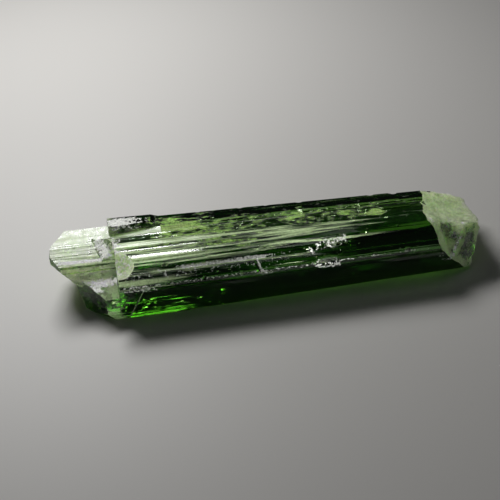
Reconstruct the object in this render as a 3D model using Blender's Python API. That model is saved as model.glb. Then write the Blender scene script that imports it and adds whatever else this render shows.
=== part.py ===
"""A chrome diopside crystal as found: one long prism with a stepped, broken left end
and a rough, sloping break at its right end, lying on its flattest side.

Metres, +Z up. The prism runs along X, its front looks to -Y, and the origin is at the
middle of its footprint, on the surface that it rests on.
The values below are in millimetres and degrees.
"""

import math
import random

import bmesh
import bpy
from mathutils import Vector, noise

MM = 0.001

# The line that the prism grew along runs parallel to X, this high over the resting face.
AXIS_HEIGHT = 1.65
# The block that each sub-crystal is cut from, well larger than the crystal.
BLOCK_LENGTH = 60.0
BLOCK_WIDTH = 24.0

# Faces along the growth line: the side that a face looks to (0 is the front, 90 is up),
# its distance from the line at x = 0, and the angle at which it spreads along X.
PRISM_FACES = {
    "front": (0.0, 2.60, -1.2),
    "front_upper": (44.0, 2.296, -0.6),
    "top_front": (80.0, 1.786, 1.2),
    "top_back": (100.0, 1.552, -0.25),
    "back_upper": (163.0, 2.60, -1.2),
    "back_lower": (199.0, 2.72, -0.8),
    "back_foot": (228.0, 2.62, -0.6),
    "base": (270.0, AXIS_HEIGHT, 0.0),
    "front_foot": (315.0, 2.95, -1.5),
}
# The tongue is the thinner sub-crystal that reaches furthest out of the stepped end.
TONGUE_FACES = {
    "front_upper": (38.0, 0.94, -0.8),
    "top": (89.0, 0.96, 0.4),
    "back": (170.0, 2.46, 0.0),
    "back_lower": (212.0, 1.95, 0.0),
    "under": (264.0, 0.24, 0.0),
    "front_lower": (335.0, 1.30, 0.0),
}
# The foot is the low sub-crystal at the front, with a ledge beside the tongue.
FOOT_FACES = {
    "front": (10.0, 2.42, -0.4),
    "shoulder": (69.0, 0.644, 0.0),
    "ledge": (81.0, 0.336, 0.0),
    "back": (180.0, 1.30, 0.0),
    "base": (270.0, AXIS_HEIGHT - 0.01, 0.0),
}
# The saddle fills the step between the tongue and the prism.
SADDLE_FACES = {
    "front": (38.0, 1.08, 0.0),
    "top_front": (80.0, 1.75, 1.2),
    "top_back": (100.0, 1.52, -0.25),
    "back": (146.0, 1.62, 0.0),
    "base": (270.0, -0.82, 0.0),
}
# The back block stands on the tongue's back edge, and its left end is a sheer step.
BLOCK_FACES = {
    "front": (40.0, 0.10, 0.0),
    "top": (98.0, 1.63, -0.2),
    "back_upper": (163.0, 2.66, -1.2),
    "back_lower": (199.0, 2.70, -0.8),
    "back_foot": (228.0, 2.60, -0.6),
    "base": (270.0, AXIS_HEIGHT - 0.02, 0.0),
}

# The trough in front of the back block, which runs out to the right.
TROUGH_FACES = {
    "top": (90.0, 3.0, 0.0),
    "back": (204.7, 0.86, 0.0),
    "floor": (270.0, -1.79, -5.2),
    "front": (309.7, -1.506, 0.0),
}

# What closes each sub-crystal along X: a point of the flat end and the way that it looks.
PRISM_ENDS = (
    ((-8.85, -0.6, 2.9), (-1.0, -0.06, 0.08)),
    ((13.4, 0.0, 1.6), (1.0, 0.03, 0.06)),
)
TONGUE_ENDS = (
    ((-11.95, 1.9, 2.4), (-0.84, 0.52, 0.14)),
    ((-12.50, 0.6, 2.5), (-0.95, 0.14, -0.28)),
    ((-12.42, 0.3, 2.6), (-0.74, -0.02, 0.67)),
    ((-12.32, -0.1, 2.5), (-0.86, -0.46, 0.22)),
    ((-12.33, -0.05, 2.0), (-0.70, -0.50, -0.50)),
    ((-11.6, -0.85, 1.6), (-0.55, -0.72, -0.42)),
    ((-6.5, 0.0, 1.0), (1.0, 0.0, 0.0)),
)
FOOT_ENDS = (
    ((-11.15, -1.0, 1.5), (-0.70, -0.70, 0.12)),
    ((-9.6, -2.54, 0.0), (-0.51, -0.78, -0.36)),
    ((-10.9, 0.6, 1.0), (-0.94, 0.10, -0.32)),
    ((-5.0, 0.0, 1.0), (1.0, 0.0, 0.0)),
)
SADDLE_ENDS = (
    ((-10.4, 0.4, 2.60), (-0.44, -0.08, 0.89)),
    ((-6.4, 0.0, 1.0), (1.0, 0.0, 0.0)),
)
TROUGH_ENDS = (
    ((-10.0, 0.0, 1.0), (-1.0, 0.0, 0.0)),
    ((-6.1, 0.0, 1.0), (1.0, 0.0, 0.0)),
)
BLOCK_ENDS = (
    ((-9.08, 1.5, 2.8), (-1.0, -0.05, 0.06)),
    ((-6.5, 1.8, 3.0), (0.42, 0.10, 0.90)),
)

# The broken slope between the tongue and the prism, given like the breaks below.
SADDLE_BREAK = ((-9.45, 0.4, 2.92), (-0.62, -0.16, 0.77), 9.0, 0.16, 1.0)

# The flake that broke off the prism's front left corner before the foot grew past it:
# the middle of its shell-shaped hollow, radii, and turn about Z.
CORNER_HOLLOW = ((-8.75, -1.80, 3.27), (0.97, 0.88, 0.88), 0.0)

# Growth layers: thin slabs that stand on one face of the prism. Each has the face, where
# it starts and stops along X, its height there, and the plane of its long edge, which
# runs parallel to the growth line.
LAYERS = {
    "pale_band": ("top_front", (-8.6, 4.0), (0.06, 0.02), (12.0, 1.75, 0.0)),
    "front_rib": ("front_upper", (-7.9, 3.4), (0.02, 0.09), (90.0, 1.12, 0.0)),
    "right_rib": ("front_upper", (4.3, 11.5), (0.07, 0.03), (90.0, 0.96, 0.0)),
    "top_rib": ("top_back", (-5.6, 8.8), (0.03, 0.07), (10.0, -0.11, 0.0)),
    "back_rib": ("back_upper", (-8.4, 6.0), (0.10, 0.02), (90.0, 0.72, 0.0)),
    "front_sheet": ("front", (-7.7, 2.0), (0.08, 0.02), (90.0, 0.30, 0.0)),
}
LAYER_INSET = 0.03
LAYER_END_TURN = 0.5
LAYER_END_SLOPE = 0.4

# Striations: strips round the growth line and stations along it. Each strip's edge keeps
# a height, which changes at some of the stations.
STRIP_PLANES = 36
STATIONS = 20
STATION_SPAN = (-12.1, 12.3)
STRIATION_HEIGHT = 0.014
STEEP_SHARE = 0.14
STEEP_FACTOR = 2.4
CHANGE_SHARE = 0.16
STRIATION_SEED = 11
# Striations fade out this close to the growth line, where the strips meet.
FADE_FROM = 0.5
FADE_TO = 0.9
# A face whose normal leans along X by more than this is an end, and stays unstriated.
END_TILT = 0.45
# Points closer than this become one.
WELD = 0.004

# The break at the right end: planes that it follows, each as its height at a point and
# its fall along X and Y. It takes the higher of the two slopes and the higher of the
# two flanks of its notch, and the lower of those.
SLOPES = ((9.0, -1.0, 3.37, -0.390, -0.058), (9.0, -1.0, 3.37, -0.275, -0.266))
FLANKS = ((9.45, -1.4, 3.35, -1.30, 0.75), (11.4, -1.23, 2.80, 0.402, 0.990))
BREAK_SPAN = ((8.3, 13.6), (-3.3, 3.5))
BREAK_CELL = 0.24
BREAK_TOP = 6.0
BREAK_BLEND = 0.45
BREAK_WAVES = 0.12
BREAK_WAVELENGTH = 1.1
BREAK_SEED = 3

# Flatter breaks at the same end: a point, the way that it looks, how far across its
# cutter is, how deep its waves are, and how long.
FRACTURES = {
    "front_corner": ((11.95, -2.15, 0.0), (0.45, -0.82, 0.35), 11.0, 0.10, 1.5),
    "back_corner": ((12.80, 2.3, 1.5), (0.80, 0.58, 0.10), 9.0, 0.14, 1.3),
    "end_face": ((12.75, -0.85, 2.05), (1.0, -0.1, -0.33), 11.0, 0.12, 1.2),
}
FRACTURE_CELLS = 22
FRACTURE_DEPTH = 5.0

# Hollows where flakes came off: centre, radii, and turn about Z.
FLAKES = {
    "tongue_nose": ((-12.75, 1.55, 2.95), (0.55, 0.60, 0.50), 25.0),
    "edge_flake": ((2.95, -2.70, 2.38), (0.95, 0.36, 0.42), 4.0),
    "ridge_flake": ((3.55, -2.00, 3.17), (0.72, 0.40, 0.34), -6.0),
    "open_crack": ((-0.87, -2.69, 2.83), (0.07, 0.62, 0.62), 37.0),
    "foot_flake": ((-10.0, -2.05, 1.80), (0.42, 0.40, 0.24), -30.0),
    "end_flake": ((13.00, -0.85, 2.30), (0.42, 0.55, 0.42), 20.0),
}
# Nicks along the edges between two faces of the prism: how many, from where to where,
# and their smallest and largest radius.
NICKS = {
    ("front", "front_upper"): (9, -7.2, 9.0, 0.10, 0.22),
    ("front_upper", "top_front"): (5, -6.8, 7.8, 0.08, 0.16),
    ("top_back", "back_upper"): (6, -5.6, 9.4, 0.12, 0.24),
    ("back_upper", "back_lower"): (3, -7.0, 9.0, 0.12, 0.24),
}
NICK_SEED = 5
NICK_STRETCH = 1.9
NICK_ROUGHNESS = 0.22

CRYSTAL_COLOUR = (0.020, 0.110, 0.015, 1.0)
CRYSTAL_ROUGHNESS = 0.05
CRYSTAL_IOR = 1.68


def clear_scene():
    for obj in list(bpy.data.objects):
        bpy.data.objects.remove(obj)


def new_collection(name):
    collection = bpy.data.collections.new(name)
    bpy.context.scene.collection.children.link(collection)
    return collection


def add_mesh(name, bm, collection):
    mesh = bpy.data.meshes.new(name)
    bm.to_mesh(mesh)
    bm.free()
    obj = bpy.data.objects.new(name, mesh)
    collection.objects.link(obj)
    return obj


def hide_cutter(obj):
    obj.hide_render = True
    obj.display_type = "WIRE"
    return obj


def slice_off(bm, point, facing):
    """Cuts away what lies past a plane and closes the cut."""
    everything = bm.verts[:] + bm.edges[:] + bm.faces[:]
    cut = bmesh.ops.bisect_plane(
        bm, geom=everything, plane_co=point, plane_no=facing, clear_outer=True
    )
    rim = [part for part in cut["geom_cut"] if isinstance(part, bmesh.types.BMEdge)]
    if rim:
        bmesh.ops.edgeloop_fill(bm, edges=rim)


def side_direction(side):
    """The way that a face looks, square to the growth line."""
    angle = math.radians(side)
    return Vector((0.0, -math.cos(angle), math.sin(angle)))


def face_plane(side, distance, spread):
    direction = side_direction(side)
    point = direction * distance + Vector((0.0, 0.0, AXIS_HEIGHT))
    facing = direction - Vector((math.tan(math.radians(spread)), 0.0, 0.0))
    return point * MM, facing


def sub_crystal(name, faces, ends, collection):
    """A block cut down to the given faces and ends."""
    bm = bmesh.new()
    bmesh.ops.create_cube(bm, size=1.0)
    block = Vector((BLOCK_LENGTH, BLOCK_WIDTH, BLOCK_WIDTH)) * MM
    bmesh.ops.scale(bm, vec=block, verts=bm.verts)
    for side, distance, spread in faces.values():
        slice_off(bm, *face_plane(side, distance, spread))
    for point, facing in ends:
        slice_off(bm, Vector(point) * MM, Vector(facing))
    bmesh.ops.recalc_face_normals(bm, faces=bm.faces)
    return add_mesh(name, bm, collection)


def moved_face(face, span, change):
    """A face of the prism, moved out by one length at one end of a span and another at
    the other end."""
    side, distance, spread = face
    slope = (change[1] - change[0]) / (span[1] - span[0])
    turned = math.degrees(math.atan(math.tan(math.radians(spread)) + slope))
    return side, distance + change[0] - slope * span[0], turned


def growth_layer(name, face, span, height, long_edge, collection):
    """A thin slab on one face: the prism again, that face raised and the rest drawn in."""
    faces = {"long_edge": long_edge}
    for key, values in PRISM_FACES.items():
        change = height if key == face else (-LAYER_INSET, -LAYER_INSET)
        faces[key] = moved_face(values, span, change)
    direction = side_direction(PRISM_FACES[face][0])
    across = Vector((0.0, direction.z, -direction.y)) * LAYER_END_TURN
    middle = direction * PRISM_FACES[face][1] + Vector((0.0, 0.0, AXIS_HEIGHT))
    lean = direction * LAYER_END_SLOPE + across
    ends = [
        (Vector((span[0], 0.0, 0.0)) + middle, Vector((-1.0, 0.0, 0.0)) + lean),
        (Vector((span[1], 0.0, 0.0)) + middle, Vector((1.0, 0.0, 0.0)) + lean),
    ]
    for point, facing in PRISM_ENDS:
        ends.append((Vector(point) - Vector(facing) * LAYER_INSET, facing))
    return sub_crystal(name, faces, ends, collection)


def boolean(obj, other, operation):
    modifier = obj.modifiers.new(other.name, "BOOLEAN")
    modifier.object = other
    modifier.operation = operation
    modifier.solver = "EXACT"


def apply_modifiers(obj):
    graph = bpy.context.evaluated_depsgraph_get()
    mesh = bpy.data.meshes.new_from_object(obj.evaluated_get(graph))
    obj.modifiers.clear()
    obj.data = mesh


def height_table():
    """The height of each strip's edge at each station."""
    chance = random.Random(STRIATION_SEED)
    table = []
    for _ in range(2 * STRIP_PLANES):
        steep = STEEP_FACTOR if chance.random() < STEEP_SHARE else 1.0
        level = chance.uniform(-1.0, 1.0) * steep
        row = []
        for _ in range(STATIONS):
            if chance.random() < CHANGE_SHARE:
                level = chance.uniform(-1.0, 1.0) * steep
            row.append(level * STRIATION_HEIGHT)
        table.append(row)
    return table


def striation_height(table, side, x):
    """The table read at an angle round the growth line and a place along it."""
    strip = (side % 360.0) / 360.0 * len(table) - 0.5
    first, share = math.floor(strip), strip - math.floor(strip)
    low, high = STATION_SPAN
    along = (x - low) / (high - low) * (STATIONS - 1)
    station = min(max(math.floor(along), 0), STATIONS - 2)
    step = min(max(along - station, 0.0), 1.0)
    height = 0.0
    for row, weight in ((first, 1.0 - share), (first + 1, share)):
        levels = table[row % len(table)]
        height += weight * (levels[station] * (1.0 - step) + levels[station + 1] * step)
    return height


def grown_faces(bm):
    """The faces that run along the prism, without the one it rests on, and their edges."""
    faces = []
    for face in bm.faces:
        resting = face.normal.z < -0.99 and face.calc_center_median().z < 0.05 * MM
        if abs(face.normal.x) < END_TILT and not resting:
            faces.append(face)
    edges = {edge for face in faces for edge in face.edges}
    verts = {vert for face in faces for vert in face.verts}
    return list(verts) + list(edges) + faces


def striate(obj):
    """Cuts the faces into strips along the prism and raises or lowers the strips' edges."""
    bm = bmesh.new()
    bm.from_mesh(obj.data)
    axis = Vector((0.0, 0.0, AXIS_HEIGHT)) * MM
    for number in range(STRIP_PLANES):
        angle = math.pi * (number + 0.5) / STRIP_PLANES
        across = Vector((0.0, math.sin(angle), math.cos(angle)))
        bmesh.ops.bisect_plane(bm, geom=grown_faces(bm), plane_co=axis, plane_no=across)
    low, high = STATION_SPAN
    for number in range(STATIONS):
        place = Vector((low + (high - low) * number / (STATIONS - 1), 0.0, 0.0)) * MM
        along = Vector((1.0, 0.0, 0.0))
        bmesh.ops.bisect_plane(bm, geom=grown_faces(bm), plane_co=place, plane_no=along)
    bmesh.ops.remove_doubles(bm, verts=bm.verts, dist=WELD * MM)
    table = height_table()
    moves = []
    for vert in bm.verts:
        place = vert.co / MM - Vector((0.0, 0.0, AXIS_HEIGHT))
        radial = Vector((0.0, place.y, place.z))
        reach = radial.length
        fade = min(max((reach - FADE_FROM) / (FADE_TO - FADE_FROM), 0.0), 1.0)
        on_base = vert.co.z < 0.02 * MM
        if fade == 0.0 or on_base:
            continue
        side = math.degrees(math.atan2(place.z, -place.y))
        height = striation_height(table, side, place.x) * fade
        moves.append((vert, radial.normalized() * height * MM))
    for vert, move in moves:
        vert.co += move
    bmesh.ops.triangulate(bm, faces=bm.faces)
    bm.to_mesh(obj.data)
    bm.free()


def rough(place, wavelength, seed):
    """Fractal waves from about -1 to 1."""
    shift = Vector((seed * 7.3, seed * 3.1, seed * 1.7))
    return noise.fractal(place / wavelength + shift, 0.9, 2.1, 4)


def raise_grid(bm, top):
    """Closes a grid upwards into a block with a flat top."""
    raised = bmesh.ops.extrude_face_region(bm, geom=bm.faces[:])
    for part in raised["geom"]:
        if isinstance(part, bmesh.types.BMVert):
            part.co.z = top * MM
    bmesh.ops.recalc_face_normals(bm, faces=bm.faces)


def blend(first, second):
    """The lower of two heights, rounded where they are nearly the same."""
    near = max(BREAK_BLEND - abs(first - second), 0.0) / BREAK_BLEND
    return min(first, second) - near * near * BREAK_BLEND / 4.0


def plane_height(plane, x, y):
    from_x, from_y, height, fall_x, fall_y = plane
    return height + fall_x * (x - from_x) + fall_y * (y - from_y)


def break_cutter(name, collection):
    """What is missing over the right end's break: a block with the break as its floor."""
    (x_low, x_high), (y_low, y_high) = BREAK_SPAN
    bm = bmesh.new()
    bmesh.ops.create_grid(
        bm,
        x_segments=math.ceil((x_high - x_low) / BREAK_CELL),
        y_segments=math.ceil((y_high - y_low) / BREAK_CELL),
        size=0.5,
    )
    for vert in bm.verts:
        x = x_low + (vert.co.x + 0.5) * (x_high - x_low)
        y = y_low + (vert.co.y + 0.5) * (y_high - y_low)
        slope = max(plane_height(plane, x, y) for plane in SLOPES)
        notch = max(plane_height(plane, x, y) for plane in FLANKS)
        waves = BREAK_WAVES * rough(Vector((x, y, 0.0)), BREAK_WAVELENGTH, BREAK_SEED)
        vert.co = Vector((x, y, blend(slope, notch) + waves)) * MM
    raise_grid(bm, BREAK_TOP)
    return hide_cutter(add_mesh(name, bm, collection))


def fracture_cutter(name, point, facing, across, waves, wavelength, seed, collection):
    """A thick plate whose inner side is the broken surface that it leaves."""
    bm = bmesh.new()
    bmesh.ops.create_grid(
        bm,
        x_segments=FRACTURE_CELLS,
        y_segments=FRACTURE_CELLS,
        size=across * MM / 2.0,
    )
    for vert in bm.verts:
        vert.co.z = waves * MM * rough(vert.co / MM, wavelength, seed)
    raise_grid(bm, FRACTURE_DEPTH)
    cutter = add_mesh(name, bm, collection)
    cutter.rotation_mode = "QUATERNION"
    cutter.rotation_quaternion = Vector(facing).to_track_quat("Z", "Y")
    cutter.location = Vector(point) * MM
    return hide_cutter(cutter)


def flake_cutter(name, centre, radii, turn, seed, collection, detail=3, roughness=0.07):
    """A rough ball, stretched to the hollow that a flake leaves."""
    bm = bmesh.new()
    bmesh.ops.create_icosphere(bm, subdivisions=detail, radius=1.0)
    for vert in bm.verts:
        vert.co *= 1.0 + roughness * rough(vert.co, 0.7, seed)
    bmesh.ops.scale(bm, vec=Vector(radii) * MM, verts=bm.verts)
    cutter = add_mesh(name, bm, collection)
    cutter.location = Vector(centre) * MM
    cutter.rotation_euler = (0.0, 0.0, math.radians(turn))
    return hide_cutter(cutter)


def edge_point(first, second, x):
    """Where two faces of the prism meet, at a place along X."""
    (side_a, far_a, spread_a), (side_b, far_b, spread_b) = (
        PRISM_FACES[first],
        PRISM_FACES[second],
    )
    a, b = side_direction(side_a), side_direction(side_b)
    reach_a = far_a + x * math.tan(math.radians(spread_a))
    reach_b = far_b + x * math.tan(math.radians(spread_b))
    cross = a.y * b.z - a.z * b.y
    y = (reach_a * b.z - reach_b * a.z) / cross
    z = (a.y * reach_b - b.y * reach_a) / cross
    return Vector((x, y, z + AXIS_HEIGHT))


def nick_cutters(collection):
    """Small chips taken off the long edges, at seeded places."""
    chance = random.Random(NICK_SEED)
    cutters = []
    for (first, second), (count, x_from, x_to, smallest, largest) in NICKS.items():
        outward = side_direction(PRISM_FACES[first][0]) + side_direction(
            PRISM_FACES[second][0]
        )
        outward.normalize()
        for number in range(count):
            x = x_from + (x_to - x_from) * (number + chance.random()) / count
            radius = chance.uniform(smallest, largest)
            centre = edge_point(first, second, x) + outward * radius * 0.45
            radii = (radius * chance.uniform(1.0, NICK_STRETCH), radius, radius)
            name = f"nick_{first}_{number}"
            seed = len(cutters) + 20
            turn = chance.uniform(-20.0, 20.0)
            cutters.append(
                flake_cutter(
                    name, centre, radii, turn, seed, collection, 2, NICK_ROUGHNESS
                )
            )
    return cutters


def centre_on_base(obj):
    """Moves the mesh so that the middle of its footprint is the origin."""
    points = [vert.co for vert in obj.data.vertices]
    low = Vector(min(point[axis] for point in points) for axis in range(3))
    high = Vector(max(point[axis] for point in points) for axis in range(3))
    middle = Vector(((low.x + high.x) / 2.0, (low.y + high.y) / 2.0, low.z))
    for vert in obj.data.vertices:
        vert.co -= middle


def diopside_material():
    material = bpy.data.materials.new("diopside")
    material.use_nodes = True
    shader = material.node_tree.nodes["Principled BSDF"]
    shader.inputs["Base Color"].default_value = CRYSTAL_COLOUR
    shader.inputs["Roughness"].default_value = CRYSTAL_ROUGHNESS
    shader.inputs["Metallic"].default_value = 0.0
    shader.inputs["IOR"].default_value = CRYSTAL_IOR
    return material


def grow(collection, helpers):
    """The sub-crystals and their growth layers as one striated solid."""
    crystal = sub_crystal("diopside_crystal", PRISM_FACES, PRISM_ENDS, collection)
    layers = [
        sub_crystal("saddle", SADDLE_FACES, SADDLE_ENDS, helpers),
        sub_crystal("back_block", BLOCK_FACES, BLOCK_ENDS, helpers),
    ]
    for name, values in LAYERS.items():
        layers.append(growth_layer(name, *values, helpers))
    hollows = [
        sub_crystal("trough", TROUGH_FACES, TROUGH_ENDS, helpers),
        fracture_cutter("saddle_break", *SADDLE_BREAK, 7, helpers),
        flake_cutter("corner_hollow", *CORNER_HOLLOW, 2, helpers, 4),
    ]
    later = [
        sub_crystal("tongue", TONGUE_FACES, TONGUE_ENDS, helpers),
        sub_crystal("foot", FOOT_FACES, FOOT_ENDS, helpers),
    ]
    for group, operation in ((layers, "UNION"), (hollows, "DIFFERENCE"), (later, "UNION")):
        for other in group:
            boolean(crystal, hide_cutter(other), operation)
    apply_modifiers(crystal)
    striate(crystal)
    return crystal


def wear(crystal, helpers):
    """Takes off what broke away: the right end, the flakes and the nicks."""
    cutters = [break_cutter("end_break", helpers)]
    for seed, (name, values) in enumerate(FRACTURES.items()):
        cutters.append(fracture_cutter(name, *values, seed + 1, helpers))
    for seed, (name, values) in enumerate(FLAKES.items()):
        cutters.append(flake_cutter(name, *values, seed + 10, helpers))
    cutters += nick_cutters(helpers)
    for cutter in cutters:
        boolean(crystal, cutter, "DIFFERENCE")
    apply_modifiers(crystal)


def main():
    clear_scene()
    crystal_parts = new_collection("diopside_crystal")
    helpers = new_collection("cutters")
    crystal = grow(crystal_parts, helpers)
    wear(crystal, helpers)
    centre_on_base(crystal)
    crystal.data.materials.clear()
    crystal.data.materials.append(diopside_material())


main()
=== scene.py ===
# A chrome diopside crystal on a pale table: one clear green prism, striated along its
# length, with a stepped end, a frosted break, flake scars and fine flaws inside.
# Values are in mm and degrees unless a note says otherwise.

import math
import random

import bmesh
import bpy
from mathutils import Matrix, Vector, noise
from mathutils.bvhtree import BVHTree


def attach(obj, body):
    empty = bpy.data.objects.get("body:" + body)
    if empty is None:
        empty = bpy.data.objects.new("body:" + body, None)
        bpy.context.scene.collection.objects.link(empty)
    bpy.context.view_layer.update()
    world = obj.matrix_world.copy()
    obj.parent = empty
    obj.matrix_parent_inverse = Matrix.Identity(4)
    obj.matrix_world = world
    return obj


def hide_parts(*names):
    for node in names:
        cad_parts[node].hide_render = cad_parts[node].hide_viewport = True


mm = 0.001  # in metres, which every object here is made in
grown, resting, broken, flake, inside = range(5)  # what a face belongs to; inside is a flaw's
waveShape = {"falloff": 0.9, "finer": 2.1, "octaves": 4, "seedSteps": (7.3, 3.1, 1.7)}


# sRGB hex to the linear colour that nodes take
def hexToLinear(hexCode):
    channels = []
    for start in (1, 3, 5):
        value = int(hexCode[start : start + 2], 16) / 255.0
        channels.append(value / 12.92 if value <= 0.04045 else ((value + 0.055) / 1.055) ** 2.4)
    return (*channels, 1.0)


# names and numbers in settings are a node's own settings and the values of its sockets
def addNode(tree, kind, settings=None, links=None):
    node = tree.nodes.new(kind)
    for name, value in (settings or {}).items():
        if isinstance(name, str) and hasattr(node, name):
            setattr(node, name, value)
        else:
            node.inputs[name].default_value = value
    for name, source in (links or {}).items():
        tree.links.new(source, node.inputs[name])
    return node


# uneven waves about 0, for grain and patches
def waves(place, wavelength, seed):
    shift = Vector([seed * step for step in waveShape["seedSteps"]])
    return noise.fractal(
        place / wavelength + shift, waveShape["falloff"], waveShape["finer"], waveShape["octaves"])


# 0 at low, 1 at high, and straight between them; high may be the smaller one
def ramp(value, low, high):
    return min(max((value - low) / (high - low), 0.0), 1.0)


# 1 on the skin of a stretched ball, less inside it
def inBall(place, ball):
    middle, radii = ball
    offset = place - Vector(middle)
    return math.sqrt(sum((offset[axis] / radii[axis]) ** 2 for axis in range(3)))


# how far a place is from the nearest point between start and end
def nearSegment(place, start, end):
    share = ramp((place - start).dot(end - start) / (end - start).length_squared, 0.0, 1.0)
    return (place - start.lerp(end, share)).length


# edges that aren't shared by just two faces; a closed form has none
def openEdges():
    return sum(1 for edge in bm.edges if len(edge.link_faces) != 2)


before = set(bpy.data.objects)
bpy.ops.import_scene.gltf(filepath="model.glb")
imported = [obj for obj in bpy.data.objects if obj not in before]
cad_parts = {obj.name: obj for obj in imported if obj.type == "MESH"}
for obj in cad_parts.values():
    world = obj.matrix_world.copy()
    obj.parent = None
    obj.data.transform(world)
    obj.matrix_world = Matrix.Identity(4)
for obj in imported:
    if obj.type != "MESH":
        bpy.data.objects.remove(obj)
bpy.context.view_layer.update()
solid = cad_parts["diopside_crystal"]
print("frame loaded")

# where things are on the crystal
crystalShape = {
    "line": Vector((0.0, -0.06, 1.65)),  # the line that it grew along runs through here, parallel to X
    "middle": Vector((0.218, 0.06, 0.0)),  # where the origin lies, for the faces below
    # side that a face looks to (0 front, 90 up), distance from the line, spread along X
    "prismFaces": (
        (0.0, 2.60, -1.2), (44.0, 2.296, -0.6), (80.0, 1.786, 1.2), (100.0, 1.552, -0.25),
        (163.0, 2.60, -1.2), (199.0, 2.72, -0.8), (228.0, 2.62, -0.6), (315.0, 2.95, -1.5),
    ),
    "prismFrom": -6.0,  # the stepped end is left of this
    "breakFrom": 8.0,  # the sloping break is right of this
    "brokenUnder": 0.07,  # a face this deep under the grown faces is part of a break
    "endFacing": 0.2,  # a face whose normal has this much X looks along the crystal
    "restingFacing": -0.99,  # a face whose normal has less Z than this looks down
    "restingUnder": 0.05,  # and it is the resting face where it lies lower than this
    "hollow": ((-8.968, -1.86, 3.27), (1.06, 0.97, 0.97)),  # a shell-shaped scar: middle and radii
}


# how deep a place lies under the prism's side faces
def depthUnder(place):
    point = place + crystalShape["middle"] - Vector((0.0, 0.0, crystalShape["line"].z))
    depths = []
    for side, distance, spread in crystalShape["prismFaces"]:
        angle = math.radians(side)
        out = Vector((0.0, -math.cos(angle), math.sin(angle)))
        depths.append(distance + point.x * math.tan(math.radians(spread)) - out.dot(point))
    return min(depths)


def kindOf(face):
    place = face.calc_center_median() / mm
    looksAlong = abs(face.normal.x) > crystalShape["endFacing"]
    if face.normal.z < crystalShape["restingFacing"] and place.z < crystalShape["restingUnder"]:
        return resting
    if inBall(place, crystalShape["hollow"]) < 1.0:
        return broken
    if place.x <= crystalShape["prismFrom"]:
        return broken if looksAlong else grown
    atBreak = place.x > crystalShape["breakFrom"]
    if depthUnder(place) > crystalShape["brokenUnder"] or (atBreak and looksAlong):
        return broken if atBreak else flake
    return grown


bm = bmesh.new()
bm.from_mesh(solid.data)
bmesh.ops.remove_doubles(bm, verts=bm.verts, dist=0.0001 * mm)
bmesh.ops.recalc_face_normals(bm, faces=bm.faces)
kindLayer = bm.faces.layers.int.new("kind")
for face in bm.faces:
    face[kindLayer] = kindOf(face)
print("solid copied:", len(bm.faces), "faces,", openEdges(), "open edges")

# fine ridges along the growth, on a net of cuts through the growth line and across it
striations = {
    "planes": 60,  # cuts through the line; each marks two of its sides
    "planeShift": 0.3,  # how uneven they are, in spaces between them
    "stations": 24,  # cuts across, where a ridge can start or end
    "stationLean": 0.2,
    "span": (-12.7, 12.7),  # of the cuts across, along X
    "changeShare": 0.2,  # how often a ridge changes at a cut across
    # how high they stand, by side
    "heights": (
        (-20, 0.005), (0, 0.005), (44, 0.004), (62, 0.005), (80, 0.009), (100, 0.006), (163, 0.010),
        (270, 0.008), (340, 0.005),
    ),
    "fadeIn": (0.5, 0.9),  # from the line, none and all of the height
    "clearOfTable": 0.02,  # lower than this nothing moves
    "mergedUnder": 0.001,  # points closer than this become one
    "seed": 4,
}


def grownParts():
    faces = [face for face in bm.faces if face[kindLayer] == grown]
    edges = {edge for face in faces for edge in face.edges}
    verts = {vert for face in faces for vert in face.verts}
    return list(verts) + list(edges) + faces


chance = random.Random(striations["seed"])
line = crystalShape["line"]
for number in range(striations["planes"]):
    shift = chance.uniform(-striations["planeShift"], striations["planeShift"])
    angle = math.pi * (number + 0.5 + shift) / striations["planes"]
    across = Vector((0.0, math.sin(angle), math.cos(angle)))
    bmesh.ops.bisect_plane(bm, geom=grownParts(), plane_co=line * mm, plane_no=across)
lowX, highX = striations["span"]
lean = striations["stationLean"]
for number in range(striations["stations"]):
    x = lowX + (highX - lowX) * number / (striations["stations"] - 1)
    along = Vector((1.0, chance.uniform(-lean, lean), chance.uniform(-lean, lean)))
    cutAt = (line + Vector((x, 0.0, 0.0))) * mm
    bmesh.ops.bisect_plane(bm, geom=grownParts(), plane_co=cutAt, plane_no=along)
bmesh.ops.remove_doubles(bm, verts=bm.verts, dist=striations["mergedUnder"] * mm)
# a row of levels for each strip between two cuts through the line, one level for each cut across
levels = []
for _ in range(2 * striations["planes"]):
    level = chance.uniform(-1.0, 1.0)
    row = []
    for _ in range(striations["stations"]):
        if chance.random() < striations["changeShare"]:
            level = chance.uniform(-1.0, 1.0)
        row.append(level)
    levels.append(row)


# the side that an offset from the line points to, 0 front and 90 up
def sideOf(offset):
    return math.degrees(math.atan2(offset.z, -offset.y)) % 360.0


def heightOn(side):
    steps = striations["heights"]
    if side > steps[-1][0]:
        side -= 360.0
    for (fromSide, low), (toSide, high) in zip(steps, steps[1:]):
        if side <= toSide:
            return low + (high - low) * ramp(side, fromSide, toSide)
    return steps[-1][1]


# how high the ridges stand at a place, straight between the strips and between the cuts across
def striationAt(offset):
    side = sideOf(offset)
    strip = side / 360.0 * len(levels) - 0.5
    first = math.floor(strip)
    station = ramp(offset.x, lowX, highX) * (striations["stations"] - 1)
    before = min(math.floor(station), striations["stations"] - 2)
    height = 0.0
    for row, weight in ((first, 1.0 - strip + first), (first + 1, strip - first)):
        here = levels[row % len(levels)]
        height += weight * (here[before] + (here[before + 1] - here[before]) * (station - before))
    return height * heightOn(side)


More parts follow.
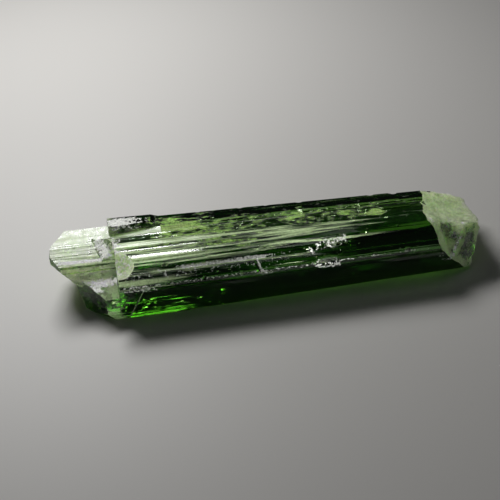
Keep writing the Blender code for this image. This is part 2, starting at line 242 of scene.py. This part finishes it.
moves = []
for vert in bm.verts:
    onGrown = any(face[kindLayer] == grown for face in vert.link_faces)
    if not onGrown or vert.co.z < striations["clearOfTable"] * mm:
        continue
    offset = vert.co / mm - line
    radial = Vector((0.0, offset.y, offset.z))
    faded = ramp(radial.length, *striations["fadeIn"])
    moves.append((vert, radial.normalized() * striationAt(offset) * faded * mm))
for vert, move in moves:
    vert.co += move
bmesh.ops.triangulate(bm, faces=bm.faces)
print("striated:", len(bm.faces), "faces")

# finer relief: faces of a kind are split at their longest edges, then moved in and out
reliefs = {
    broken: {"edge": 0.14, "height": 0.035, "wavelength": 0.55, "seed": 6},
    flake: {"edge": 0.10, "height": 0.012, "wavelength": 0.35, "seed": 7},
    resting: {"edge": 0.60, "height": 0.003, "wavelength": 1.20, "seed": 8},
}
# parts of grown faces that carry small marks, namely worn spots, painted glints and veils: from, to, reach
# and longest edge
wornAndGlintAreas = (
    ((-1.29, -2.13, 2.82), (-0.76, -2.68, 2.01), 0.30, 0.08),
    ((1.9, -2.1, 2.7), (4.0, -1.8, 2.9), 0.45, 0.14),
    ((1.9, -2.5, 2.1), (3.5, -2.5, 2.1), 0.45, 0.14),
    ((4.3, 0.2, 3.17), (6.8, 0.1, 3.17), 0.50, 0.14),
    ((1.6, -0.1, 3.25), (1.6, 1.2, 3.1), 0.40, 0.14),
)


# halves the wanted edges, longest first, until none is longer than this
def splitLongEdges(wanted, longest):
    while True:
        edges = [edge for edge in bm.edges if edge.calc_length() > longest * mm and wanted(edge)]
        if not edges:
            return
        edges.sort(key=lambda edge: -edge.calc_length())
        for edge in edges:
            _, middle = bmesh.utils.edge_split(edge, edge.verts[0], 0.5)
            joined = {vert for other in middle.link_edges for vert in other.verts}
            for face in list(middle.link_faces):
                opposite = next(vert for vert in face.verts if vert not in joined)
                bmesh.utils.face_split(face, middle, opposite)


for kind, relief in reliefs.items():
    splitLongEdges(lambda edge: any(face[kindLayer] == kind for face in edge.link_faces), relief["edge"])
    bm.normal_update()
    moves = []
    for vert in bm.verts:
        if all(face[kindLayer] == kind for face in vert.link_faces):
            wave = waves(vert.co / mm, relief["wavelength"], relief["seed"]) * relief["height"] * mm
            # the resting face only goes up, so nothing sinks into the table
            moves.append((vert, Vector((0.0, 0.0, abs(wave))) if kind == resting else vert.normal * wave))
    for vert, move in moves:
        vert.co += move
for start, end, reach, longest in wornAndGlintAreas:
    start, end = Vector(start), Vector(end)
    splitLongEdges(
        lambda edge: nearSegment((edge.verts[0].co + edge.verts[1].co) / 2 / mm, start, end) < reach, longest)
bm.normal_update()
print("roughened:", len(bm.faces), "faces,", openEdges(), "open edges")

# flaws: thin closed gaps inside the crystal
flaws = {
    "sides": 6,
    "cornerShift": 0.25,  # how uneven the corners are, in spaces between them
    "cornerReach": (0.75, 1.1),  # and how far out, in radii
    "thickness": 0.02,
    "thicknessShare": 0.3,  # of the radius, for the smallest ones
    "margin": 0.04,  # to the surface
    "apart": 0.75,  # between two middles, in both their radii
    "lean": -0.155,  # along X, so that they catch the window
    "tries": 6,  # for each one wanted
    "frostSpread": (0.3, 1.5),  # of a cloud's frost
    "seed": 9,
    # single ones: middle, radii along and across, the side that they look to, and frost
    "placed": (
        ((6.55, 0.15, 2.90), (0.42, 0.26), 94, 0.3),
        ((5.75, 0.15, 2.85), (0.22, 0.28), 95, 0.3),
        ((4.85, 0.05, 2.85), (0.30, 0.26), 94, 0.4),
        ((1.95, 1.0, 2.85), (0.22, 0.50), 95, 0.2),
        ((2.0, 1.65, 2.75), (0.25, 0.13), 94, 0.8),
        ((2.75, 0.2, 3.0), (0.08, 0.22), 90, 0.8),
        ((-5.8, 1.0, 2.75), (0.9, 0.35), 94, 0.3),
    ),
    # clouds of them: count, low and high corner, how deep at most, radii, length over width,
    # the side that they look to, tilt and frost; those sides throw the window's light forward
    "clouds": {
        "greenPatch": (110, (-7.4, -0.6, 2.2), (-2.8, 1.6, 3.4), 0.6, (0.04, 0.13), 1.8, 93, 0.07, 0.25),
        "topMiddle": (50, (-2.8, -0.4, 2.2), (2.6, 1.2, 3.4), 0.6, (0.03, 0.10), 1.6, 93, 0.09, 0.25),
        "topRight": (90, (2.6, -0.6, 2.2), (7.2, 1.2, 3.4), 0.6, (0.04, 0.13), 1.4, 93, 0.09, 0.35),
        "frontTop": (40, (-7.5, -1.8, 2.4), (6.0, -0.6, 3.3), 0.5, (0.03, 0.08), 2.5, 84, 0.07, 0.2),
        "sparkles": (50, (2.0, -2.1, 2.6), (4.3, -1.4, 3.2), 0.35, (0.03, 0.07), 1.4, 84, 0.05, 0.3),
        "lowSparkles": (40, (2.1, -2.65, 1.9), (3.6, -2.2, 2.4), 0.3, (0.03, 0.06), 1.3, 76, 0.05, 0.3),
        "upperFront": (60, (-8.0, -2.7, 1.9), (8.5, -1.9, 3.0), 0.5, (0.02, 0.04), 3.0, 76, 0.05, 0.3),
        "lowerFront": (26, (-8.4, -2.8, 0.1), (-3.0, -1.2, 0.7), 1.0, (0.03, 0.06), 8.0, 67, 0.07, 0.0),
        "edge": (46, (-1.5, -2.75, 1.90), (8.6, -2.3, 2.35), 0.16, (0.02, 0.04), 2.5, 76, 0.04, 0.3),
        "tongue": (60, (-12.0, -0.4, 1.6), (-9.1, 1.4, 2.5), 0.7, (0.04, 0.10), 4.0, 88, 0.08, 0.3),
        "tongueFront": (110, (-12.1, -1.5, 1.3), (-9.1, -0.3, 2.4), 0.6, (0.03, 0.08), 3.0, 76, 0.10, 0.7),
        "foot": (60, (-10.6, -2.5, 0.1), (-8.7, -0.8, 1.7), 0.8, (0.05, 0.14), 1.6, 66, 0.40, 0.15),
    },
}
flawLayer = bm.verts.layers.float.new("flaw")
outside = BVHTree.FromBMesh(bm)
chance = random.Random(flaws["seed"])
gaps = []


# the rim of a thin lens, then its top and bottom
def flawPoints(middle, radii, facing):
    out = facing.normalized()
    along = (Vector((1.0, 0.0, 0.0)) - out * out.x).normalized()
    across = out.cross(along)
    points = []
    for number in range(flaws["sides"]):
        shift = chance.uniform(-flaws["cornerShift"], flaws["cornerShift"])
        angle = 2.0 * math.pi * (number + shift) / flaws["sides"]
        reach = chance.uniform(*flaws["cornerReach"])
        arm = along * math.cos(angle) * radii[0] + across * math.sin(angle) * radii[1]
        points.append(middle + arm * reach)
    half = min(flaws["thickness"], radii[1] * flaws["thicknessShare"]) / 2.0
    return points + [middle + out * half, middle - out * half]


# makes no flaw where it would come too near the surface or another one
def addFlaw(middle, radii, facing, frost):
    points = flawPoints(middle, radii, facing)
    for point in points:
        near, normal, _, distance = outside.find_nearest(point * mm)
        if distance < flaws["margin"] * mm or (point * mm - near).dot(normal) > 0.0:
            return False
    for other, size in gaps:
        if (other - middle).length < (size + max(radii)) * flaws["apart"]:
            return False
    gaps.append((middle, max(radii)))
    verts = [bm.verts.new(point * mm) for point in points]
    for vert in verts:
        vert[flawLayer] = frost
    top, bottom = verts[-2:]
    rim = verts[:-2]
    for one, two in zip(rim, rim[1:] + rim[:1]):
        for corners in ((two, one, top), (one, two, bottom)):
            bm.faces.new(corners)[kindLayer] = inside
    return True


def towards(side):
    angle = math.radians(side)
    return Vector((flaws["lean"], -math.cos(angle), math.sin(angle)))


for middle, radii, facing, frost in flaws["placed"]:
    addFlaw(Vector(middle), radii, towards(facing), frost)
for count, low, high, deepest, sizes, longer, facing, tilt, frost in flaws["clouds"].values():
    for _ in range(count * flaws["tries"]):
        middle = Vector(chance.uniform(*span) for span in zip(low, high))
        near, normal, _, distance = outside.find_nearest(middle * mm)
        if distance > deepest * mm or (middle * mm - near).dot(normal) > 0.0:
            continue
        width = chance.uniform(*sizes)
        tilted = towards(facing) + Vector(chance.uniform(-tilt, tilt) for _ in range(3))
        radii = (width * chance.uniform(1.0, longer), width)
        if addFlaw(middle, radii, tilted, frost * chance.uniform(*flaws["frostSpread"])):
            count -= 1
        if not count:
            break
bm.normal_update()
print("flaws:", len(gaps), "gaps,", len(bm.faces), "faces,", openEdges(), "open edges")

crystalMesh = bpy.data.meshes.new("crystal")
bm.to_mesh(crystalMesh)
bm.free()
crystal = bpy.data.objects.new("crystal", crystalMesh)
bpy.context.scene.collection.objects.link(crystal)

# finishes over the surface, each a level at every corner of the mesh: 0 for none, and 1 or a
# little more for all of it
finishes = {
    # pale roughness of breaks, and where it is clearer: middle, radii and what is left
    "frost": {
        "broken": 0.75, "flake": 0.25, "tongueNose": 0.05, "steps": 0.35, "hollow": 0.9, "foot": 0.04,
        "undersides": 0.8, "tongueBack": 0.3, "tongueTop": 0.47, "blockFoot": 0.45,
    },
    "blockFoot": ((-7.7, 1.1, 2.85), (1.5, 0.35, 0.35)),
    "clearer": (
        ((11.6, -1.75, 1.5), (1.0, 0.9, 1.1), 0.35),
        ((10.3, -1.3, 2.5), (0.5, 0.5, 0.5), 0.45),
        ((-6.85, 2.1, 3.0), (0.5, 0.6, 0.5), 0.05),
        ((-8.75, -2.25, 2.45), (0.6, 0.45, 0.45), 0.45),
    ),
    # how ragged the edge of those is, and where it starts and ends, in radii
    "clearerEdge": {"wavelength": 0.6, "strength": 0.8, "seed": 3, "span": (0.6, 1.1)},
    # bright white wear, chips and cracks, together with painted glints and highlights along edges, on the
    # ledge and in the sparkles, and painted light in the shaded hollow: from, to, reach and level
    "wear": {
        "blockTop": ((-8.95, 1.95, 3.05), (-7.7, 1.9, 3.05), 0.65, 1.0),
        "step": ((-9.95, 0.8, 2.78), (-9.5, -0.4, 2.80), 0.50, 0.85),
        "endRim": ((-9.0, 1.1, 2.95), (-8.95, -0.7, 3.2), 0.35, 0.66),
        "hollow": ((-9.0, -1.5, 2.4), (-8.5, -1.3, 2.8), 0.9, 0.5),
        "ledge": ((-10.4, -1.64, 1.72), (-9.2, -1.56, 1.77), 0.38, 1.0),
        "ledgePatch": ((-10.3, -1.95, 1.60), (-10.1, -2.05, 1.58), 0.25, 0.8),
        "tongueEdge": ((-12.2, -0.50, 2.53), (-9.3, -0.55, 2.60), 0.17, 1.3),
        "frontEdge": ((-8.9, -2.84, 2.20), (8.6, -2.47, 2.20), 0.13, 0.55),
        "footGlints": ((-8.9, -2.86, 2.05), (-7.2, -2.86, 1.95), 0.16, 0.7),
        "upperEdge": ((-5.7, -2.18, 2.80), (-0.4, -2.12, 2.83), 0.15, 0.95),
        "crackHigh": ((-1.29, -2.13, 2.82), (-1.19, -2.51, 2.54), 0.08, 1.0),
        "crackMiddle": ((-1.19, -2.51, 2.54), (-1.04, -2.65, 2.25), 0.11, 1.3),
        "crackLow": ((-1.04, -2.65, 2.25), (-0.76, -2.68, 2.01), 0.09, 1.1),
        "upperFront": ((-8.5, -2.35, 2.6), (1.0, -2.25, 2.65), 0.50, 0.27),
        "sparkleHigh": ((2.3, -1.95, 2.93), (3.9, -1.7, 3.05), 0.40, 0.56),
        "sparkleMid": ((1.8, -2.05, 2.86), (2.2, -2.5, 2.3), 0.20, 0.55),
        "sparkleLow": ((2.2, -2.61, 2.0), (3.4, -2.60, 1.95), 0.25, 0.66),
        "leftArm": ((9.14, -1.17, 3.28), (9.84, -2.46, 1.34), 0.25, 0.7),
        "rightArm": ((11.32, -1.04, 2.63), (10.38, -2.39, 1.19), 0.25, 0.7),
    },
    "wearFullWithin": 0.4,  # of its reach
    # tiny flaws close under the top faces, drawn pale green, a colour that also paints the glow of light
    # passing through the crystal: the sides between which they lie, and levels along X
    "mottles": (
        ((86, 135), (
            (-9.1, 0.1), (-7.1, 0.1), (-6.8, 1.10), (-4.5, 0.90), (-2.5, 0.46), (2.0, 0.40),
            (6.0, 0.46), (7.2, 0.22), (8.5, 0.15))),
        ((135, 152), (
            (-9.1, 0.0), (-7.1, 0.0), (-6.8, 0.75), (-4.5, 0.65), (-2.5, 0.20), (8.5, 0.15))),
        ((78, 86), (
            (-9.0, 0.45), (-2.0, 0.40), (2.0, 0.30), (6.0, 0.22), (8.5, 0.25))),
        ((42, 78), (
            (-9.0, 0.50), (-4.0, 0.58), (0.0, 0.42), (3.0, 0.20), (6.0, 0.05), (8.5, 0.10))),
        ((5, 50), (
            (-12.3, 1.10), (-9.2, 1.05), (-9.1, 0.0))),
    ),
    "patches": {"wavelength": 1.1, "strength": 0.5, "seed": 5},  # they come denser and thinner
    # whole veils, which also paint the light that inner facets catch: middle, radii and level
    "veils": (
        ((6.2, 0.08, 3.17), (0.70, 0.34, 0.4), 1.0),
        ((4.6, 0.35, 3.15), (0.45, 0.22, 0.4), 0.8),
        ((1.6, 0.6, 3.15), (0.30, 0.75, 0.5), 0.8),
    ),
    "veilEdge": (1.1, 0.8),  # in radii, none and all of the level
    # milky streaks along the growth, which also paint the pale sheen of light on the striated faces, by side
    # and X as the mottles are
    "streaks": (
        ((86, 150), (
            (-12.4, 0.1), (-11.9, 0.40), (-9.1, 0.42), (-9.0, 0.40), (-4.0, 0.15), (8.5, 0.0))),
        ((40, 86), (
            (-12.4, 0.1), (-11.9, 0.48), (-9.0, 0.73), (0.0, 0.68), (3.0, 0.40), (6.0, 0.22),
            (8.5, 0.10))),
        ((8, 40), (
            (-12.5, 0.2), (-9.1, 0.2), (-9.0, 0.62), (-5.0, 0.60), (-2.0, 0.44), (0.0, 0.33),
            (4.0, 0.12), (8.5, 0.0))),
        ((320, 345), (
            (-10.6, 0.5), (-9.0, 0.5), (-8.9, 0.0))),
    ),
}
# how the stepped end's parts are told apart: places, and how far up a face's normal points
steppedEnd = {
    "breaksTo": 0.0,  # breaks left of this are the stepped end's
    "lowPartsTo": -8.9,  # tongue and foot
    "tongueTopTo": -9.0,
    "noseTo": -10.6,
    "offTable": 0.3,
    "tongueBackFrom": 0.3,  # along Y
    "footBefore": -0.6,  # along Y
    "footUnder": 2.0,
    "hollowReach": 1.1,
    "looksDown": -0.3,
    "looksUp": 0.5,
    "ledgeLooksUp": 0.8,
    "bevelLooksUp": 0.2,
}


# a band's level at a place, straight between the places along X that it is given for
def levelAt(place, bands):
    side = sideOf(place - line)
    for (low, high), steps in bands:
        if low <= side < high:
            for (fromX, start), (toX, end) in zip(steps, steps[1:]):
                if place.x <= toX:
                    return start + (end - start) * ramp(place.x, fromX, toX)
            return steps[-1][1]
    return 0.0


def frostAt(kind, place, normal):
    values = finishes["frost"]
    lowPart = place.x < steppedEnd["lowPartsTo"]
    if lowPart and normal.z < steppedEnd["looksDown"] and place.z > steppedEnd["offTable"]:
        return values["undersides"]
    if lowPart and place.y > steppedEnd["tongueBackFrom"] and normal.z < steppedEnd["looksUp"]:
        return values["tongueBack"]
    if kind == grown and place.x < steppedEnd["tongueTopTo"] and normal.z > steppedEnd["looksUp"]:
        return values["tongueTop"]
    if kind == grown and inBall(place, finishes["blockFoot"]) < 1.0:
        return values["blockFoot"]
    if kind != broken:
        return values["flake"] if kind == flake else 0.0
    level = values["steps"] if place.x < steppedEnd["breaksTo"] else values["broken"]
    inFoot = lowPart and place.y < steppedEnd["footBefore"] and place.z < steppedEnd["footUnder"]
    if inBall(place, crystalShape["hollow"]) < steppedEnd["hollowReach"]:
        level = values["hollow"]
    elif inFoot and normal.z < steppedEnd["ledgeLooksUp"]:
        return values["foot"]
    elif place.x < steppedEnd["noseTo"]:
        return values["tongueNose"] if normal.z > steppedEnd["bevelLooksUp"] else 0.0
    edge = finishes["clearerEdge"]
    ragged = edge["strength"] * waves(place, edge["wavelength"], edge["seed"])
    for middle, radii, left in finishes["clearer"]:
        level *= left + (1.0 - left) * ramp(inBall(place, (middle, radii)) + ragged, *edge["span"])
    return level


def wearAt(place):
    level = 0.0
    for start, end, reach, most in finishes["wear"].values():
        near = nearSegment(place, Vector(start), Vector(end))
        level = max(level, most * ramp(near / reach, 1.0, finishes["wearFullWithin"]))
    return level


def mottlesAt(place):
    patches = finishes["patches"]
    patchy = 1.0 + patches["strength"] * waves(place, patches["wavelength"], patches["seed"])
    level = levelAt(place, finishes["mottles"]) * patchy
    for middle, radii, most in finishes["veils"]:
        level = max(level, most * ramp(inBall(place, (middle, radii)), *finishes["veilEdge"]))
    return level


kinds = [item.value for item in crystalMesh.attributes["kind"].data]
flawFrost = [item.value for item in crystalMesh.attributes["flaw"].data]
levelsBy = {"frost": [], "wear": [], "mottles": [], "streaks": []}
for polygon in crystalMesh.polygons:
    kind = kinds[polygon.index]
    glassy = kind in (grown, flake)
    for index in polygon.vertices:
        place = crystalMesh.vertices[index].co / mm
        frost = flawFrost[index] if kind == inside else frostAt(kind, place, polygon.normal)
        levelsBy["frost"].append(frost)
        levelsBy["wear"].append(0.0 if kind == inside else wearAt(place))
        levelsBy["mottles"].append(mottlesAt(place) if glassy else 0.0)
        levelsBy["streaks"].append(levelAt(place, finishes["streaks"]) if glassy else 0.0)
for name, values in levelsBy.items():
    crystalMesh.attributes.new(name, "FLOAT", "CORNER").data.foreach_set("value", values)
print("finishes set")

# Chrome diopside, as it grew and as it broke. Grown faces are glass-bright: its IOR is 1.66 to
# 1.70. Breaks scatter light from their grain, so they look frosted and pale. Chrome takes blue
# and red out of what passes, so thin parts look fresh green and the body nearly black.
# Patterns have the size of their grain in mm. Real grain on frost and wear is 0.02 to 0.05 and
# real ridges stand 0.01 to 0.05 apart, which is too fine to show, so they are drawn coarser.
diopsideLook = {
    "ior": 1.68,
    "roughness": 0.04,
    "frostedRoughness": 0.6,
    "streakRoughness": 0.4,  # as a share of frost's
    "absorption": (610.0, 330.0, 900.0),  # a metre, of red, green and blue
    "softDepth": 2.5,  # how far light spreads under frost
    "softColours": (0.8, 1.0, 0.6),
    "specks": {"grain": 0.0909, "detail": 3.0, "roughness": 0.7, "span": (0.35, 0.62), "shade": (0.45, 1.35)},
    # size along X, Y and Z, how much the level adds to the pattern, where the sum starts to
    # show and is full, colour, how speckled, and how much of it lets no light through
    "finishes": {
        # this pale green is tiny flaws, and also painted glow of light passing through the crystal
        "mottles": {
            "grain": (0.667, 0.3125, 0.3125), "levelShare": 0.35, "span": (0.66, 0.86),
            "colour": "#b0da7c", "speckled": 1.0, "solid": 0.92},
        # this pale colour is milky streaks, and also painted sheen of light on the striated faces
        "streaks": {
            "grain": (7.143, 0.3333, 0.3333), "levelShare": 0.35, "span": (0.68, 0.78),
            "colour": "#c8e0a8", "speckled": 0.6, "solid": 0.85},
        "frost": {
            "grain": (0.625, 0.625, 0.625), "levelShare": 1.0, "span": (0.62, 1.38),
            "colour": "#d2e8b0", "speckled": 0.45, "solid": 0.8},
        # this near-white is real wear and chips, and also painted glints, highlights and light in the hollow
        "wear": {
            "grain": (0.1667, 0.1667, 0.1667), "levelShare": 0.35, "span": (0.68, 0.76),
            "colour": "#f4f6ee", "speckled": 0.6, "solid": 0.95},
    },
    "pattern": {"detail": 5.0, "roughness": 0.65},
    "edgeGain": 12.0,  # a finish thins out to none below a twelfth of its level
    "colourGain": 3.0,  # its colour is whole from a third of the finish
    "ridges": {"grain": (12.5, 0.125, 0.125), "detail": 3.0, "height": 0.02, "strength": 0.2},
    "grains": {"grain": 0.1111, "detail": 4.0, "roughness": 0.7},
    "wornHeight": 0.06,
    "frostHeight": 0.04,
    "frostStrength": 0.5,
}


# a pattern's scale from the size of its grain
def scaleOf(size):
    return 1.0 / (size * mm)


diopside = bpy.data.materials.new("diopside")
diopside.use_nodes = True
tree = diopside.node_tree
tree.nodes.clear()
place = addNode(tree, "ShaderNodeTexCoord").outputs["Object"]
look = diopsideLook["specks"]
specks = addNode(
    tree, "ShaderNodeTexNoise",
    {"Scale": scaleOf(look["grain"]), "Detail": look["detail"], "Roughness": look["roughness"]},
    {"Vector": place})
shade = addNode(
    tree, "ShaderNodeMapRange",
    {"From Min": look["span"][0], "From Max": look["span"][1],
     "To Min": look["shade"][0], "To Max": look["shade"][1]},
    {"Value": specks.outputs["Fac"]})
# a colour Mix node has its factor at socket 0, its colours at 6 and 7 and its result at 2
colour = None
opaque = None
here = {}
for name, look in diopsideLook["finishes"].items():
    level = addNode(tree, "ShaderNodeAttribute", {"attribute_name": name}).outputs["Fac"]
    scale = [scaleOf(size) for size in look["grain"]]
    sized = addNode(tree, "ShaderNodeMapping", {"Scale": scale}, {"Vector": place})
    pattern = addNode(
        tree, "ShaderNodeTexNoise",
        {"Scale": 1.0, "Detail": diopsideLook["pattern"]["detail"],
         "Roughness": diopsideLook["pattern"]["roughness"]},
        {"Vector": sized.outputs["Vector"]})
    both = addNode(
        tree, "ShaderNodeMath", {"operation": "MULTIPLY_ADD", 1: look["levelShare"]},
        {0: level, 2: pattern.outputs["Fac"]})
    spread = addNode(
        tree, "ShaderNodeMapRange", {"From Min": look["span"][0], "From Max": look["span"][1]},
        {"Value": both.outputs["Value"]})
    anyHere = addNode(
        tree, "ShaderNodeMath",
        {"operation": "MULTIPLY", "use_clamp": True, 1: diopsideLook["edgeGain"]}, {0: level})
    here[name] = addNode(
        tree, "ShaderNodeMath", {"operation": "MULTIPLY"},
        {0: spread.outputs["Result"], 1: anyHere.outputs["Value"]}).outputs["Value"]
    covered = addNode(
        tree, "ShaderNodeMath",
        {"operation": "MULTIPLY", "use_clamp": True, 1: diopsideLook["colourGain"]},
        {0: here[name]})
    shaded = addNode(
        tree, "ShaderNodeMix",
        {"data_type": "RGBA", "blend_type": "MULTIPLY", 0: look["speckled"], 6: hexToLinear(look["colour"])},
        {7: shade.outputs["Result"]})
    mix = addNode(
        tree, "ShaderNodeMix", {"data_type": "RGBA", 6: (1.0, 1.0, 1.0, 1.0)},
        {0: covered.outputs["Value"], 7: shaded.outputs[2]})
    solidHere = addNode(
        tree, "ShaderNodeMath", {"operation": "MULTIPLY", 1: look["solid"]}, {0: here[name]}).outputs["Value"]
    if colour:
        tree.links.new(colour, mix.inputs[6])
        opaque = addNode(
            tree, "ShaderNodeMath", {"operation": "MAXIMUM"}, {0: opaque, 1: solidHere}).outputs["Value"]
    else:
        opaque = solidHere
    colour = mix.outputs[2]

look = diopsideLook["ridges"]
scale = [scaleOf(size) for size in look["grain"]]
along = addNode(tree, "ShaderNodeMapping", {"Scale": scale}, {"Vector": place})
fine = addNode(
    tree, "ShaderNodeTexNoise", {"Scale": 1.0, "Detail": look["detail"]}, {"Vector": along.outputs["Vector"]})
ridges = addNode(
    tree, "ShaderNodeBump", {"Strength": look["strength"], "Distance": look["height"] * mm},
    {"Height": fine.outputs["Fac"]})
look = diopsideLook["grains"]
grains = addNode(
    tree, "ShaderNodeTexNoise",
    {"Scale": scaleOf(look["grain"]), "Detail": look["detail"], "Roughness": look["roughness"]},
    {"Vector": place})
worn = addNode(
    tree, "ShaderNodeBump", {"Distance": diopsideLook["wornHeight"] * mm},
    {"Height": grains.outputs["Fac"], "Normal": ridges.outputs["Normal"], "Strength": here["wear"]})
grainStrength = addNode(
    tree, "ShaderNodeMath", {"operation": "MULTIPLY", 1: diopsideLook["frostStrength"]}, {0: here["frost"]})
grainy = addNode(
    tree, "ShaderNodeBump", {"Distance": diopsideLook["frostHeight"] * mm},
    {"Height": grains.outputs["Fac"], "Normal": worn.outputs["Normal"],
     "Strength": grainStrength.outputs["Value"]})
roughHere = addNode(
    tree, "ShaderNodeMath", {"operation": "MULTIPLY_ADD", 1: diopsideLook["streakRoughness"]},
    {0: here["streaks"], 2: here["frost"]})
roughness = addNode(
    tree, "ShaderNodeMapRange",
    {"To Min": diopsideLook["roughness"], "To Max": diopsideLook["frostedRoughness"]},
    {"Value": roughHere.outputs["Value"]})
passing = addNode(tree, "ShaderNodeMapRange", {"To Min": 1.0, "To Max": 0.0}, {"Value": opaque})
soft = addNode(
    tree, "ShaderNodeMath", {"operation": "MAXIMUM"}, {0: here["frost"], 1: here["mottles"]})
shader = addNode(
    tree, "ShaderNodeBsdfPrincipled",
    {"IOR": diopsideLook["ior"], "Subsurface Radius": diopsideLook["softColours"],
     "Subsurface Scale": diopsideLook["softDepth"] * mm},
    {"Base Color": colour, "Roughness": roughness.outputs["Result"],
     "Subsurface Weight": soft.outputs["Value"], "Transmission Weight": passing.outputs["Result"],
     "Normal": grainy.outputs["Normal"]})
density = max(diopsideLook["absorption"])
passed = [1.0 - each / density for each in diopsideLook["absorption"]]
absorb = addNode(tree, "ShaderNodeVolumeAbsorption", {"Color": (*passed, 1.0), "Density": density})
addNode(
    tree, "ShaderNodeOutputMaterial", {},
    {"Surface": shader.outputs["BSDF"], "Volume": absorb.outputs["Volume"]})
crystalMesh.materials.clear()
crystalMesh.materials.append(diopside)

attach(crystal, "root")
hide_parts("diopside_crystal")
print("diopside on the crystal")

# matt paint, rolled on board: even and pale, with a broad soft sheen
table = {"size": 1200.0, "gap": 0.02, "colour": "#d6d4d0", "roughness": 0.5}
tableForm = bmesh.new()
bmesh.ops.create_grid(tableForm, x_segments=1, y_segments=1, size=table["size"] * mm / 2)
tableMesh = bpy.data.meshes.new("table")
tableForm.to_mesh(tableMesh)
tableForm.free()
tableTop = bpy.data.objects.new("table", tableMesh)
bpy.context.scene.collection.objects.link(tableTop)
tableTop.location.z = -table["gap"] * mm
paint = bpy.data.materials.new("matt paint")
paint.use_nodes = True
paintShader = paint.node_tree.nodes["Principled BSDF"]
paintShader.inputs["Base Color"].default_value = hexToLinear(table["colour"])
paintShader.inputs["Roughness"].default_value = table["roughness"]
tableMesh.materials.append(paint)
print("table made")

room = {"colour": "#dfe4ea", "strength": 0.02}
world = bpy.data.worlds.new("room")
bpy.context.scene.world = world
world.use_nodes = True
roomLight = world.node_tree.nodes["Background"]
roomLight.inputs["Color"].default_value = hexToLinear(room["colour"])
roomLight.inputs["Strength"].default_value = room["strength"]

# azimuth 0 is the front and 90 the right; the target is the origin where none is given.
# Only window and top light the table. The near ones show in no reflection, nor through faces.
lights = {
    "window": {
        "azimuth": 206.0, "elevation": 44.5, "distance": 60.0, "size": (34.0, 13.0), "radiance": 18.0,
        "onTable": True},
    "top": {
        "azimuth": 178.0, "elevation": 74.0, "distance": 100.0, "size": (50.0, 26.0), "radiance": 0.4,
        "onTable": True},
    "front": {
        "azimuth": -6.0, "elevation": 63.0, "distance": 100.0, "size": (70.0, 30.0), "radiance": 0.5},
    "right": {
        "azimuth": 95.0, "elevation": 38.0, "distance": 34.0, "size": (5.0, 5.0), "radiance": 18.0},
    "left": {
        "azimuth": -78.0, "elevation": 36.0, "distance": 34.0, "size": (5.0, 5.0), "radiance": 13.0},
    "nearLeft": {
        "azimuth": -5.0, "elevation": 40.0, "distance": 5.0, "size": (1.2, 1.2), "radiance": 14.0,
        "target": (-10.0, -1.4, 1.9), "mirrored": False},
    "nearMiddle": {
        "azimuth": -5.0, "elevation": 40.0, "distance": 3.0, "size": (0.8, 0.8), "radiance": 45.0,
        "target": (2.4, -2.2, 2.5), "mirrored": False},
}
view = {
    "azimuth": -10.0, "elevation": 42.0, "distance": 49.0, "target": (-1.268, -0.060, 1.5),
    "lens": 60.0, "sensor": 36.0, "nearest": 1.0}


# puts a lamp or the camera where the values say, looking at their target
def putInPlace(thing, values):
    around = math.radians(values["azimuth"])
    up = math.radians(values["elevation"])
    back = Vector((math.sin(around) * math.cos(up), -math.cos(around) * math.cos(up), math.sin(up)))
    thing.location = (Vector(values.get("target", (0.0, 0.0, 0.0))) + back * values["distance"]) * mm
    thing.rotation_euler = (-back).to_track_quat("-Z", "Y").to_euler()
    bpy.context.scene.collection.objects.link(thing)


crystalOnly = bpy.data.collections.new("crystal only")
crystalOnly.objects.link(crystal)
for name, light in lights.items():
    data = bpy.data.lights.new(name, "AREA")
    data.shape = "RECTANGLE"
    data.size, data.size_y = (side * mm for side in light["size"])
    data.energy = light["radiance"] * math.pi * data.size * data.size_y  # in watts
    lamp = bpy.data.objects.new(name, data)
    putInPlace(lamp, light)
    lamp.visible_glossy = light.get("mirrored", True)
    lamp.visible_transmission = light.get("mirrored", True)
    if not light.get("onTable", False):
        lamp.light_linking.receiver_collection = crystalOnly

cameraData = bpy.data.cameras.new("camera")
cameraData.lens = view["lens"]
cameraData.sensor_width = view["sensor"]
cameraData.clip_start = view["nearest"] * mm
camera = bpy.data.objects.new("camera", cameraData)
putInPlace(camera, view)
bpy.context.scene.camera = camera
print("lights and camera placed")

# light turns many times between a clear crystal's faces
bounces = {"all": 32, "transmitted": 32, "mirrored": 24}
scene = bpy.context.scene
scene.view_settings.view_transform = "Standard"
scene.cycles.max_bounces = bounces["all"]
scene.cycles.transmission_bounces = bounces["transmitted"]
scene.cycles.glossy_bounces = bounces["mirrored"]
